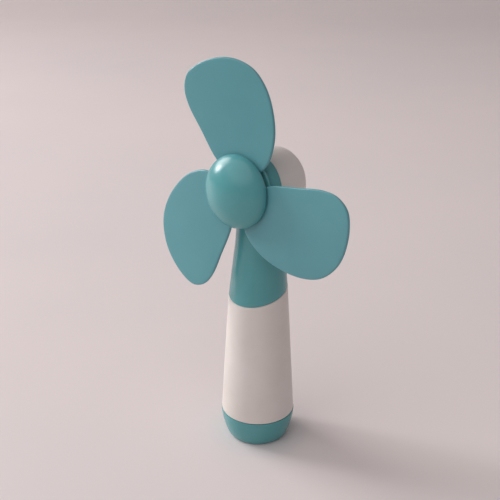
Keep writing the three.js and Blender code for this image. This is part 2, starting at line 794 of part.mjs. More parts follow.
const slider = add(fan, 'thumb_slider', thumbSlider().rotateX(-Math.PI / 2).rotateY(Math.PI), white());
slider.position.set(0, pocketFloor + gap, switchOff);
add(fan, 'switch_lever', switchLever(), black()).position.set(0, 0, switchOff);
add(fan, 'switch_frame', switchFrame(), steel()).position.set(0, 0, switchMiddle);
add(fan, 'switch_base', switchBase(), plastic(0x6a4a2c, 0.6)).position.set(0, 0, switchMiddle);
terminalHeights.forEach((height, k) => {
  const pin = block([-0.6, 2.8, height - 0.25], [0.6, 8.1, height + 0.25]);
  add(fan, `switch_terminal_${k + 1}`, pin, brass()).position.set(0, 0, switchMiddle);
});

// ---- Wires ----

const wireRadius = 0.6;
const at = (x, y, z) => new THREE.Vector3(x, y, z);

// The last stretch of a wire to the motor: up the front of the neck, under the can and to its tag.
function motorRun(side) {
  return [
    headPoint(side * 4.5, -20, 4.4), headPoint(side * 4.5, -13.4, 4.6), headPoint(side * 4.5, -11.2, 2.6),
    headPoint(side * 4.6, -10.9, -3), headPoint(side * 4.9, -10.6, -12.2), headPoint(side * 5.2, -9.4, -13.6),
    headPoint(side * 5.2, -7.5, -13.6),
  ];
}

const supplyRoute = [
  at(-cellOffset, 2.6, 65.4), at(-7.2, 2.4, 72), at(-5.4, 1.6, 84), at(-2.4, 0.2, 93),
  at(0, 0.6, switchMiddle), at(0, 2.4, switchMiddle),
];
const switchedRoute = [
  at(0, 2.4, switchMiddle + 2.8), at(-0.6, 0.4, switchMiddle + 3.4), at(-3, -2.4, 106), ...motorRun(-1),
];
const returnRoute = [
  at(cellOffset, 2.6, 65.4), at(7.2, 2.2, 72), at(6.2, 0.6, 86), at(5, -2.4, 104), ...motorRun(1),
];
add(fan, 'supply_wire', wireThrough(supplyRoute, wireRadius), plastic(0xb02a22, 0.5));
add(fan, 'switched_wire', wireThrough(switchedRoute, wireRadius), plastic(0xd8b23a, 0.5));
add(fan, 'return_wire', wireThrough(returnRoute, wireRadius), plastic(0x1d1e20, 0.5));

export default fan;
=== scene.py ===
import json
import math

import bmesh
import bpy
import numpy as np
from mathutils import Matrix, Vector


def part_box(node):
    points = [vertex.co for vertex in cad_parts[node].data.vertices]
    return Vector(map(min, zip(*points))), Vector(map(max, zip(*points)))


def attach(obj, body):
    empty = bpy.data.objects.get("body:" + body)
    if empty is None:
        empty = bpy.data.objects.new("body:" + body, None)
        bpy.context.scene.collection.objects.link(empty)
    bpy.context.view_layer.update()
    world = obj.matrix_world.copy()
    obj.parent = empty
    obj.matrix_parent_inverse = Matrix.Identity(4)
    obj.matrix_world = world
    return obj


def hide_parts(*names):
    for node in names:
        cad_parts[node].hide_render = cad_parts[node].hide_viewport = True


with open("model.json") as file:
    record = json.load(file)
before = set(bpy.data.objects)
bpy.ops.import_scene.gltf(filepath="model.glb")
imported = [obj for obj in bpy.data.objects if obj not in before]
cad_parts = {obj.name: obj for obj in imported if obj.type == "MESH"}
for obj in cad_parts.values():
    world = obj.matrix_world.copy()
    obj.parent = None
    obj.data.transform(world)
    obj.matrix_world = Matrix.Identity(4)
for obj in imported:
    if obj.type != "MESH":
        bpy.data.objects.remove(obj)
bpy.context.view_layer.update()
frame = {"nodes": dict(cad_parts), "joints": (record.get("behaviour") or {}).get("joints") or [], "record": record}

MM = 0.001
SLIVER = 0.001 * MM   # points closer than this, in metres, are one point

# ---- Driving dimensions, in millimetres ----

GAP = 0.3            # clearance between neighbouring pieces
WALL = 1.5
SEGMENTS = 128       # round the turned pieces
EDGE = 0.35          # radius of a moulded edge

# The head's frame: X to the right, Y up and Z forward along the motor axis.
SPIN = next(joint for joint in frame["joints"] if joint["name"] == "rotor_spin")
FORWARD = Vector(SPIN["axis"]).normalized()
RIGHT = Vector((1, 0, 0))
TURN = Matrix((RIGHT, FORWARD.cross(RIGHT), FORWARD)).transposed()
HEAD = Matrix.Translation(Vector(SPIN["pos_m"])) @ TURN.to_4x4()


def node_size(node):
    """Lowest and highest corners of a CAD node in millimetres."""
    low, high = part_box(node)
    return low / MM, high / MM


# Foot cap and handle
CAP_RADIUS, _, CAP_HEIGHT = node_size("foot_cap")[1]
FOOT_RADIUS = 14.6
CAP_ROUNDNESS = 1.45
HANDLE_LOW, HANDLE_HIGH = node_size("handle_tube")
HANDLE_RADIUS = HANDLE_HIGH.x
HANDLE_TAPER = 0.059
HANDLE_BORE = 14.95
CELL_LEDGE = 62.3    # where the cell bay ends and the neck's plug begins
THREAD_RADIUS = 16.05
SEAM_HEIGHT = 83.4
SEAM_SLOPE = 0.29

# Neck: half width, half depth and the centre's Y at evenly spaced heights
NECK_BOTTOM = 74
NECK_STEP = 11
NECK_SECTIONS = np.array([
    [15.35, 15.35, 0.1], [14.5, 14.3, 0.5], [13.7, 13.0, 1.0],
    [12.8, 12.0, 1.7], [12.4, 12.9, 3.0], [12.9, 14.6, 4.4],
])
NECK_TOP = NECK_BOTTOM + NECK_STEP * (len(NECK_SECTIONS) - 1)
NECK_FILLET = 3.0    # roundness of the corner between the neck and the pod
SKIN_VOXEL = 0.8     # grid of the mesh that the neck and pod are melted into
SPIGOT_RADIUS = 13.6
SPIGOT_BORE = 12.1

# Pod and rear cover, measured forward along the motor axis from the middle of the head
POD_RADIUS = 16.8
POD_FRONT = 10.7
POD_EDGE = 3.4
POD_SEAM = 3.6
POD_REAR = -19
COVER_CORNER = 8
COVER_ROUNDNESS = 3.2
SHAFT_HOLE = 3.4
SCREW_OFFSET = 11.6
SCREW_SEAT = -2
POST_RADIUS = 3
POST_FRONT = 0.3
WELL_RADIUS = 2.2
SCREW_HOLE = 1.3

# Rotor
BLADE_COUNT = 3
FIRST_BLADE = math.radians(99.9)
BLADE_PLANE = 13.4
BLADE_HALF_THICKNESS = 0.8
BLADE_MIDDLE = 44.7
BLADE_HALF_WIDTH = 22.4
BLADE_PITCH = 0.0678     # slope across the blade at its middle
BLADE_TWIST = 0.0594     # how much the pitch grows from the axis to the middle
BLADE_CROWN = 0.0158     # how far the long edges fall back, as a share of the half width
BLADE_LEAN = 0.0282      # slope of the lean back towards the tip
ROOT_LIFT = 0.85
ROOT_REACH = 13          # the root is flat up to this distance from the axis
ROOT_BLEND = 9           # and reaches the blade's own shape this much further out
BLADE_OUTLINE = np.array([
    [61.4, 5.5], [59.2, 17.6], [54.9, 25.0], [48.0, 27.6], [40.3, 26.1], [28.7, 20.0], [14.7, 12.0],
    [7.2, 4.0], [6.4, -8.0], [12.2, -17.5], [22.6, -22.0], [34.0, -22.3], [46.0, -19.2], [55.0, -13.0],
    [60.0, -4.0],
])
HUB_RADIUS = 17.6
HUB_REAR = 11.4
HUB_FRONT = 13
NOSE_REAR = 15.8
NOSE_RIM = 16.8
NOSE_LENGTH = 9
NOSE_ROUNDNESS = 1.8
PEG = (11.45, -1.2)

# Slider at the back of the neck, in a slotted pocket in a pad, each with its half width and half height
SWITCH_MIDDLE = 97.2
PAD_ROOT = 10.9
PAD_HALF = (6, 9)
POCKET_FLOOR = 13.0
POCKET_HALF = (4.6, 7.5)
SLOT_HALF = (2, 3.9)

# ---- Camera ----

CAMERA_PLACE = Vector((257.0, -319.8, 281.2)) * MM
CAMERA_TARGET = Vector((-3.1, -2.6, 104.1)) * MM
CAMERA_LENS = 65.49


def make_camera():
    data = bpy.data.cameras.new("camera")
    data.lens = CAMERA_LENS
    data.sensor_width = 36
    camera = bpy.data.objects.new("camera", data)
    camera.location = CAMERA_PLACE
    camera.rotation_mode = "QUATERNION"
    camera.rotation_quaternion = (CAMERA_TARGET - CAMERA_PLACE).to_track_quat("-Z", "Y")
    bpy.context.scene.collection.objects.link(camera)
    bpy.context.scene.camera = camera


# ---- Node helpers ----

class Nodes:
    """Short way to add and link shader nodes in one material."""

    def __init__(self, name):
        self.material = bpy.data.materials.new(name)
        self.material.use_nodes = True
        self.tree = self.material.node_tree
        self.shader = next(n for n in self.tree.nodes if n.type == "BSDF_PRINCIPLED")

    def add(self, kind, **inputs):
        node = self.tree.nodes.new(kind)
        for key, value in inputs.items():
            self.feed(node, key.replace("_", " "), value)
        return node

    def feed(self, node, socket, value):
        target = node.inputs[socket]
        if isinstance(value, bpy.types.NodeSocket):
            self.tree.links.new(value, target)
        else:
            target.default_value = value

    def place(self):
        return self.add("ShaderNodeTexCoord").outputs["Object"]

    def noise(self, scale, detail=3.0, roughness=0.5, place=None):
        node = self.add("ShaderNodeTexNoise", Scale=scale, Detail=detail, Roughness=roughness)
        self.feed(node, "Vector", place or self.place())
        return node.outputs["Fac"]

    def ramp(self, value, low, high, low_stop=0.3, high_stop=0.7):
        node = self.add("ShaderNodeMapRange", From_Min=low_stop, From_Max=high_stop, To_Min=low, To_Max=high)
        self.feed(node, "Value", value)
        return node.outputs["Result"]

    def mix(self, factor, first, second, blend="MIX"):
        node = self.add("ShaderNodeMix")
        node.data_type = "RGBA"
        node.blend_type = blend
        for index, value in ((0, factor), (6, first), (7, second)):
            target = node.inputs[index]
            if isinstance(value, bpy.types.NodeSocket):
                self.tree.links.new(value, target)
            else:
                target.default_value = value
        return node.outputs[2]

    def maths(self, operation, first, second=0.0):
        node = self.add("ShaderNodeMath")
        node.operation = operation
        for index, value in enumerate((first, second)):
            if isinstance(value, bpy.types.NodeSocket):
                self.tree.links.new(value, node.inputs[index])
            else:
                node.inputs[index].default_value = value
        return node.outputs[0]

    def bump(self, height, distance, strength=1.0, before=None):
        node = self.add("ShaderNodeBump", Height=height, Distance=distance, Strength=strength)
        if before is not None:
            self.feed(node, "Normal", before)
        return node.outputs["Normal"]

    def surface(self, **inputs):
        for key, value in inputs.items():
            self.feed(self.shader, key.replace("_", " "), value)


def colour(red, green, blue):
    """Linear colour with alpha from sRGB bytes."""
    return (*(((byte / 255 + 0.055) / 1.055) ** 2.4 for byte in (red, green, blue)), 1.0)


# ---- Materials ----

def moulded_plastic(name, base, shade, roughness, glow, seed):
    """Satin moulding: faint flow in the colour, uneven polish, fine texture and hairline scratches."""
    n = Nodes(name)
    place = n.add("ShaderNodeMapping")
    n.feed(place, "Vector", n.place())
    place.inputs["Location"].default_value = (seed, seed, seed)
    spot = place.outputs["Vector"]
    flow = n.noise(28, 4, 0.55, spot)
    tint = n.mix(n.ramp(flow, 0.0, 1.0, 0.32, 0.68), base, shade)
    specks = n.ramp(n.noise(900, 2, 0.5, spot), 0.0, 0.06, 0.68, 0.8)
    tint = n.mix(specks, tint, shade)
    cloud = n.noise(70, 5, 0.6, spot)
    smudge = n.noise(16, 3, 0.5, spot)
    polish = n.maths("ADD", n.ramp(cloud, -0.01, 0.015), n.ramp(smudge, -0.01, 0.015))
    gloss = n.maths("ADD", polish, roughness)
    stretched = n.add("ShaderNodeMapping")
    n.feed(stretched, "Vector", n.place())
    stretched.inputs["Rotation"].default_value = (0.35, 0.2, 0.6)
    stretched.inputs["Scale"].default_value = (2200, 160, 60)
    hair = n.add("ShaderNodeTexNoise", Scale=1.0, Detail=1.0)
    n.feed(hair, "Vector", stretched.outputs["Vector"])
    scratch = n.ramp(hair.outputs["Fac"], 0.0, 0.04, 0.72, 0.8)
    gloss = n.maths("ADD", gloss, scratch)
    skin_height = n.noise(1500, 3, 0.55, spot)
    wave = n.bump(n.noise(110, 2, 0.5, spot), 0.00003, 0.08)
    normal = n.bump(skin_height, 0.000012, 0.4, wave)
    n.surface(Base_Color=tint, Roughness=gloss, Normal=normal)
    n.shader.inputs["IOR"].default_value = 1.5
    n.shader.inputs["Subsurface Weight"].default_value = glow
    n.shader.inputs["Subsurface Radius"].default_value = (1.0, 0.8, 0.7)
    n.shader.inputs["Subsurface Scale"].default_value = 0.0012
    return n.material


def bare_metal(name, base, dull, roughness):
    """Drawn or rolled metal: a fine grain in its colour, polish and relief, and a few dull patches."""
    n = Nodes(name)
    stretched = n.add("ShaderNodeMapping")
    n.feed(stretched, "Vector", n.place())
    stretched.inputs["Scale"].default_value = (40, 40, 1600)
    grain = n.add("ShaderNodeTexNoise", Scale=1.0, Detail=3.0)
    n.feed(grain, "Vector", stretched.outputs["Vector"])
    patches = n.ramp(n.noise(220, 4, 0.6), 0.0, 0.7)
    tint = n.mix(patches, base, dull)
    tint = n.mix(n.ramp(grain.outputs["Fac"], 0.0, 0.35), tint, dull)
    gloss = n.maths("ADD", n.ramp(grain.outputs["Fac"], -0.06, 0.1), roughness)
    normal = n.bump(grain.outputs["Fac"], 0.00001, 0.6)
    n.surface(Base_Color=tint, Roughness=gloss, Normal=normal)
    n.shader.inputs["Metallic"].default_value = 1.0
    return n.material


def coarse_solid(name, base, shade, roughness, metallic):
    """Sintered, laminated or pressed material: grainy in colour, polish and relief."""
    n = Nodes(name)
    grain = n.noise(1400, 4, 0.65)
    cloud = n.noise(150, 3, 0.5)
    tint = n.mix(n.ramp(grain, 0.0, 1.0), base, shade)
    tint = n.mix(n.ramp(cloud, 0.0, 0.4), tint, shade)
    gloss = n.maths("ADD", n.ramp(grain, -0.08, 0.1), roughness)
    n.surface(Base_Color=tint, Roughness=gloss, Normal=n.bump(grain, 0.00003, 0.7))
    n.shader.inputs["Metallic"].default_value = metallic
    return n.material


def wound_copper(name, base, shade):
    """Layers of enamelled wire, drawn as fine bands."""
    n = Nodes(name)
    bands = n.add("ShaderNodeTexWave", Scale=900.0, Distortion=0.6, Detail=1.0)
    n.feed(bands, "Vector", n.place())
    tint = n.mix(n.ramp(bands.outputs["Fac"], 0.0, 1.0), shade, base)
    gloss = n.ramp(n.noise(300), 0.25, 0.42)
    n.surface(Base_Color=tint, Roughness=gloss, Normal=n.bump(bands.outputs["Fac"], 0.00008))
    n.shader.inputs["Metallic"].default_value = 0.9
    return n.material


TEAL = colour(90, 164, 169)
TEAL_SHADE = colour(84, 156, 160)
BLADE_TEAL = colour(97, 162, 170)
BLADE_SHADE = colour(91, 155, 164)
WHITE = colour(232, 226, 221)
WHITE_SHADE = colour(224, 216, 210)


def make_materials():
    plastics = (
        ("teal_shell", TEAL, TEAL_SHADE, 0.22, 0.0),
        ("teal_blade", BLADE_TEAL, BLADE_SHADE, 0.38, 0.08),
        ("white_shell", WHITE, WHITE_SHADE, 0.4, 0.1),
        ("white_plastic", colour(226, 222, 214), colour(214, 209, 200), 0.5, 0.0),
        ("black_plastic", colour(38, 38, 41), colour(28, 28, 31), 0.5, 0.0),
        ("cell_jacket", colour(62, 92, 112), colour(50, 78, 98), 0.25, 0.0),
        ("red_wire", colour(182, 42, 36), colour(160, 34, 30), 0.42, 0.0),
        ("yellow_wire", colour(214, 178, 62), colour(196, 158, 50), 0.42, 0.0),
        ("black_wire", colour(34, 34, 36), colour(24, 24, 26), 0.42, 0.0),
    )
    metals = (
        ("nickel_steel", colour(205, 205, 202), colour(160, 160, 158), 0.26),
        ("motor_steel", colour(196, 200, 204), colour(150, 155, 160), 0.32),
        ("bronze", colour(190, 148, 88), colour(140, 104, 58), 0.38),
        ("spring_brass", colour(214, 184, 112), colour(176, 146, 84), 0.26),
    )
    solids = (
        ("brown_board", colour(120, 78, 44), colour(92, 58, 32), 0.6, 0.0),
        ("core_steel", colour(120, 122, 126), colour(78, 80, 84), 0.45, 1.0),
        ("ferrite", colour(58, 58, 62), colour(38, 38, 41), 0.7, 0.0),
    )
    made = {}
    for seed, (name, *look) in enumerate(plastics):
        made[name] = moulded_plastic(name, *look, 3.1 * seed)
    for name, *look in metals:
        made[name] = bare_metal(name, *look)
    for name, *look in solids:
        made[name] = coarse_solid(name, *look)
    made["copper_wire"] = wound_copper("copper_wire", colour(196, 112, 62), colour(120, 62, 34))
    return made


# ---- Mesh helpers ----

def new_object(name, vertices, faces, matrix=None):
    """Mesh object from points in millimetres, in the row frame or in the frame that a matrix gives."""
    mesh = bpy.data.meshes.new(name)
    mesh.from_pydata([tuple(np.asarray(v, float) * MM) for v in vertices], [], faces)
    if matrix is not None:
        mesh.transform(matrix)
    mesh.validate()
    return link(name, mesh)


def link(name, mesh):
    piece = bpy.data.objects.new(name, mesh)
    bpy.context.scene.collection.objects.link(piece)
    face_outwards(mesh)
    return piece


def face_outwards(mesh):
    work = bmesh.new()
    work.from_mesh(mesh)
    bmesh.ops.recalc_face_normals(work, faces=work.faces)
    work.to_mesh(mesh)
    work.free()


def shade_smooth(piece, angle=32):
    """Smooth shading that keeps the real edges sharp."""
    mesh = piece.data
    work = bmesh.new()
    work.from_mesh(mesh)
    for edge in work.edges:
        edge.smooth = len(edge.link_faces) != 2 or edge.calc_face_angle(0) < math.radians(angle)
    for face in work.faces:
        face.smooth = True
    work.to_mesh(mesh)
    work.free()


def superellipse(start_radius, end_radius, length, roundness, steps):
    """Points from [start_radius, 0] to [end_radius, length] along a quarter curve."""
    angles = np.linspace(0, math.pi / 2, steps + 1)
    across = np.cos(angles).clip(0) ** (2 / roundness)
    along = np.sin(angles).clip(0) ** (2 / roundness)
    return np.column_stack([end_radius + (start_radius - end_radius) * across, length * along])


def turned(name, profile, matrix=None, segments=SEGMENTS, height_shift=None):
    """Closed solid of revolution. Points with radius 0 become poles, and height_shift bends the rings."""
    points = [tuple(p) for p in profile]
    vertices = []
    rings = []
    for radius, height in points:
        if radius < 1e-6:
            rings.append([len(vertices)])
            vertices.append((0, 0, height))
            continue
        ring = []
        for i in range(segments):
            angle = 2 * math.pi * i / segments
            x, y = radius * math.cos(angle), radius * math.sin(angle)
            ring.append(len(vertices))
            vertices.append((x, y, height_shift(height, x, y) if height_shift else height))
        rings.append(ring)
    faces = []
    closed = rings if len(rings[0]) == 1 else [*rings, rings[0]]
    for low, high in zip(closed, closed[1:]):
        for i in range(segments):
            j = (i + 1) % segments
            quad = [low[i % len(low)], low[j % len(low)], high[j % len(high)], high[i % len(high)]]
            unique = list(dict.fromkeys(quad))
            if len(unique) > 2:
                faces.append(unique)
    return new_object(name, vertices, faces, matrix)


def rounded_box(name, low, high, corner, matrix=None, steps=3):
    """Box with rounded edges, from a bevelled bmesh cube."""
    low, high = Vector(low), Vector(high)
    work = bmesh.new()
    bmesh.ops.create_cube(work, size=1)
    middle, size = (low + high) / 2, high - low
    for vertex in work.verts:
        vertex.co = Vector(middle[k] + vertex.co[k] * size[k] for k in range(3)) * MM
    if corner > 0:
        edges = {"geom": work.edges[:], "affect": "EDGES"}
        bmesh.ops.bevel(work, **edges, offset=corner * MM, segments=steps, profile=0.5)
    mesh = bpy.data.meshes.new(name)
    work.to_mesh(mesh)
    work.free()
    if matrix is not None:
        mesh.transform(matrix)
    return link(name, mesh)


def apply_modifiers(piece):
    graph = bpy.context.evaluated_depsgraph_get()
    mesh = bpy.data.meshes.new_from_object(piece.evaluated_get(graph))
    old = piece.data
    piece.modifiers.clear()
    piece.data = mesh
    bpy.data.meshes.remove(old)
    return piece


def boolean(piece, operation, *tools):
    """Joins tools to a piece or cuts them from it, and deletes them."""
    for tool in tools:
        modifier = piece.modifiers.new("boolean", "BOOLEAN")
        modifier.operation = operation
        modifier.solver = "MANIFOLD"
        modifier.object = tool
        apply_modifiers(piece)
        bpy.data.objects.remove(tool)
    return piece


def merged(name, *pieces):
    """One object from several that don't need a boolean."""
    work = bmesh.new()
    for piece in pieces:
        work.from_mesh(piece.data)
        bpy.data.objects.remove(piece)
    mesh = bpy.data.meshes.new(name)
    work.to_mesh(mesh)
    work.free()
    return link(name, mesh)


def clean(mesh):
    """Joins doubled points, and drops the slivers and the folded-over faces that cuts leave."""
    work = bmesh.new()
    work.from_mesh(mesh)
    bmesh.ops.remove_doubles(work, verts=work.verts, dist=SLIVER)
    bmesh.ops.dissolve_degenerate(work, dist=SLIVER, edges=work.edges)
    bmesh.ops.triangulate(work, faces=work.faces)
    same_corners = {}
    for face in work.faces:
        same_corners.setdefault(frozenset(face.verts), []).append(face)
    folded = [face for faces in same_corners.values() if len(faces) > 1 for face in faces]
    bmesh.ops.delete(work, geom=folded, context="FACES")
    work.to_mesh(mesh)
    work.free()


def finish_piece(piece, body, node, slot, angle=32):
    """Cleans a piece, gives it its shading, the material that a slot names and its body, and hides the CAD node it
    stands for.
    """
    clean(piece.data)
    shade_smooth(piece, angle)
    piece.data.materials.clear()
    piece.data.materials.append(materials[slot])
    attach(piece, body)
    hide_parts(node)


# ---- Foot cap and handle ----

def make_foot_cap():
    """Cup with a curved outside and a flat foot."""
    outside = superellipse(CAP_RADIUS, FOOT_RADIUS, CAP_HEIGHT, CAP_ROUNDNESS, 40)
    outside[:, 1] = CAP_HEIGHT - outside[:, 1]
    foot_edge = [(FOOT_RADIUS - 0.7, 0), (FOOT_RADIUS - 0.25, 0.06), (FOOT_RADIUS + 0.12, 0.3)]
    rounding = ((0.02, 0.25), (0.12, 0.06), (0.3, 0))
    rim = [(CAP_RADIUS - inwards, CAP_HEIGHT - down) for inwards, down in rounding]
    side = [tuple(p) for p in outside[::-1] if 0.45 < p[1] < CAP_HEIGHT - 0.4]
    inner = [(17.05, CAP_HEIGHT), (17.05, 9.3), (16.3, 8.7), (16.0, 6.5), (14.6, 3.2), (12.6, 1.6), (0, 1.6)]
    return turned("cap_piece", [(0, 0), *foot_edge, *side, *rim, *inner])


def make_handle():
    """Tapered tube whose top leans with the seam."""
    shoulder = CAP_HEIGHT + GAP
    top = SEAM_HEIGHT
    outer = []
    for share in np.linspace(0, 1, 33):
        height = shoulder + EDGE + share * (top - GAP - EDGE - shoulder - EDGE)
        outer.append((HANDLE_RADIUS - HANDLE_TAPER * (height - CAP_HEIGHT), height))
    top_radius = outer[-1][0]
    lip = [(top_radius - 0.1, top - GAP - 0.1), (top_radius - 0.3, top - GAP)]
    socket = SPIGOT_RADIUS + GAP
    inside = [(socket, top - GAP), (socket, CELL_LEDGE), (HANDLE_BORE, CELL_LEDGE)]
    bottom = [(HANDLE_BORE, HANDLE_LOW.z), (THREAD_RADIUS, HANDLE_LOW.z), (THREAD_RADIUS, shoulder)]
    foot = [(HANDLE_RADIUS - 0.3, shoulder), (HANDLE_RADIUS - 0.08, shoulder + 0.1)]

    def to_seam(height, x, y):
        """Lean the top edge to the seam's slope, and leave the inside below it level."""
        if height < CELL_LEDGE + 1 and math.hypot(x, y) < THREAD_RADIUS:
            return height
        share = (height - shoulder) / (top - shoulder)
        return height + max(share, 0) ** 2 * SEAM_SLOPE * y

    profile = [*inside, *bottom, *foot, *outer, *lip]
    return turned("handle_piece", profile, height_shift=to_seam)


# ---- Neck and pod ----

def neck_section(heights):
    """Half width, half depth and the centre's Y at each height, through the sections."""
    place = (np.asarray(heights, float) - NECK_BOTTOM) / NECK_STEP
    last = len(NECK_SECTIONS) - 1
    k = np.clip(np.floor(place).astype(int), 0, last - 1)
    t = (place - k)[..., None]
    points = [NECK_SECTIONS[np.clip(k + step, 0, last)] for step in (-1, 0, 1, 2)]
    points[0] = np.where((k == 0)[..., None], 2 * points[1] - points[2], points[0])
    points[3] = np.where((k == last - 1)[..., None], 2 * points[2] - points[1], points[3])
    before, start, end, after = points
    return 0.5 * (2 * start + (end - before) * t + (2 * before - 5 * start + 4 * end - after) * t ** 2
                  + (3 * start - before - 3 * end + after) * t ** 3)


def neck_distance(p):
    """Rough distance of points from the neck's surface, less than 0 inside."""
    size = neck_section(np.clip(p[:, 2], NECK_BOTTOM - 8, NECK_TOP))
    reach = np.hypot(p[:, 0] / size[:, 0], (p[:, 1] - size[:, 2]) / size[:, 1])
    return np.maximum((reach - 1) * np.minimum(size[:, 0], size[:, 1]), p[:, 2] - NECK_TOP)


def pod_distance(p):
    """Distance of points from the pod's surface, less than 0 inside."""
    local = (p - np.array(HEAD.translation) / MM) @ np.array(HEAD.to_3x3())
    across = np.hypot(local[:, 0], local[:, 1]) - (POD_RADIUS - POD_EDGE)
    ahead = local[:, 2] - (POD_FRONT - POD_EDGE)
    outside = np.hypot(across.clip(0), ahead.clip(0))
    return outside + np.minimum(np.maximum(across, ahead), 0) - POD_EDGE


def housing_distance(p):
    """Smooth union of the neck and the pod."""
    neck, pod = neck_distance(p), pod_distance(p)
    overlap = np.clip(0.5 + 0.5 * (pod - neck) / NECK_FILLET, 0, 1)
    return pod * (1 - overlap) + neck * overlap - NECK_FILLET * overlap * (1 - overlap)


def settle(points, distance, rounds=6):
    """Moves points along the slope of a distance field until they lie on its surface."""
    step = 0.05
    for _ in range(rounds):
        value = distance(points)
        rises = [distance(points + step * axis) - distance(points - step * axis) for axis in np.eye(3)]
        slope = np.column_stack(rises) / (2 * step)
        size = (slope ** 2).sum(1).clip(0.05)
        points = points - (value / size)[:, None] * slope
    return points


def neck_skin(name, inset=0.0, low=NECK_BOTTOM - 4, high=NECK_TOP):
    """Closed loft of the neck, its surface moved inwards by an inset."""
    heights = np.linspace(low, high, 60)
    around = np.linspace(0, 2 * math.pi, 97)[:-1]
    vertices = []
    for height, (width, depth, centre) in zip(heights, neck_section(heights)):
        for angle in around:
            x = (width - inset) * math.cos(angle)
            y = centre + (depth - inset) * math.sin(angle)
            vertices.append((x, y, height))
    count = len(around)
    rows = len(heights)
    faces = []
    for row in range(rows - 1):
        for i in range(count):
            j = (i + 1) % count
            above = (row + 1) * count
            faces.append([row * count + i, row * count + j, above + j, above + i])
    faces.append(list(range(count)))
    faces.append(list(range((rows - 1) * count, rows * count)))
    return new_object(name, vertices, faces)


def head_rod(name, radius, rear, front):
    return turned(name, [(0, rear), (radius, rear), (radius, front), (0, front)], HEAD)


def below_seam(name, lift=0.0):
    """Everything below the sloping seam, raised by a lift."""
    size = 200
    slope = Matrix.Rotation(math.atan(SEAM_SLOPE), 4, "X")
    place = Matrix.Translation((0, 0, (SEAM_HEIGHT + lift) * MM)) @ slope
    return rounded_box(name, (-size, -size, -size), (size, size, 0), 0, place)


def make_housing():
    """Neck and front half of the head: one skin, hollowed, with the handle's plug and the switch's pocket."""
    rear = POD_REAR - 6
    across, ahead = POD_RADIUS - POD_EDGE, POD_FRONT - POD_EDGE
    angles = np.linspace(0, math.pi / 2, 11)
    edge = [(across + POD_EDGE * math.cos(a), ahead + POD_EDGE * math.sin(a)) for a in angles]
    pod = turned("pod_skin", [(0, rear), (POD_RADIUS, rear), *edge, (0, POD_FRONT)], HEAD)
    housing = merged("housing_piece", neck_skin("neck_outside"), pod)
    remesh = housing.modifiers.new("remesh", "REMESH")
    remesh.mode = "VOXEL"
    remesh.voxel_size = SKIN_VOXEL * MM
    apply_modifiers(housing)
    points = np.array([v.co for v in housing.data.vertices]) / MM
    local = (points - np.array(HEAD.translation) / MM) @ np.array(HEAD.to_3x3())
    kept = (points[:, 2] > NECK_BOTTOM - 3) & (local[:, 2] > rear + 2)
    points[kept] = settle(points[kept], housing_distance)
    for vertex, point in zip(housing.data.vertices, points * MM):
        vertex.co = point
    cover_room = head_rod("cover_room", POD_RADIUS + GAP, -60, POD_SEAM)
    boolean(housing, "DIFFERENCE", below_seam("seam_cut"), cover_room)
    lip = POD_RADIUS - WALL - GAP
    seam_lip = [(lip - 1.4, POD_SEAM - 3), (lip, POD_SEAM - 3), (lip, POD_SEAM), (lip + 0.8, POD_SEAM),
                (lip + 0.8, POD_SEAM + 2), (lip - 1.4, POD_SEAM + 2)]
    low, high = CELL_LEDGE + GAP, SEAM_HEIGHT + 3
    plug = [(SPIGOT_BORE, low), (SPIGOT_RADIUS, low), (SPIGOT_RADIUS, high), (SPIGOT_BORE, high)]

    def along_seam(height, x, y):
        return height + SEAM_SLOPE * y if height > SEAM_HEIGHT else height

    pod_room = head_rod("pod_room", POD_RADIUS - WALL, POD_REAR, POD_FRONT - 2)
    saddle = head_rod("saddle", POD_RADIUS + GAP + WALL, -40, POD_SEAM - 1)
    boolean(housing, "DIFFERENCE", pod_room, boolean(neck_skin("neck_room", WALL), "DIFFERENCE", saddle))
    x, z = PAD_HALF
    pad_low, pad_high = (-x, PAD_ROOT, SWITCH_MIDDLE - z), (x, POCKET_FLOOR + 0.2, SWITCH_MIDDLE + z)
    boolean(
        housing, "UNION",
        turned("seam_lip", seam_lip, HEAD),
        turned("plug", plug, height_shift=along_seam),
        rounded_box("pad", pad_low, pad_high, 0.3),
    )
    x, z = POCKET_HALF
    pocket = rounded_box("pocket", (-x, POCKET_FLOOR, SWITCH_MIDDLE - z), (x, 30, SWITCH_MIDDLE + z), 0.6)
    x, z = SLOT_HALF
    slot = rounded_box("slot", (-x, 5, SWITCH_MIDDLE - z), (x, 30, SWITCH_MIDDLE + z), 0.4)
    boolean(housing, "DIFFERENCE", pocket, slot, head_rod("shaft_hole", SHAFT_HOLE, 5, POD_FRONT + 1))
    return housing


# ---- Rear cover ----

def cover_edge(radius, rear, steps=24):
    edge = superellipse(radius, radius - COVER_CORNER, COVER_CORNER, COVER_ROUNDNESS, steps)
    edge[:, 1] = rear + COVER_CORNER - edge[:, 1]
    return [tuple(p) for p in edge]


def screw_frame(side):
    return HEAD @ Matrix.Translation((side * SCREW_OFFSET * MM, 0, 0))


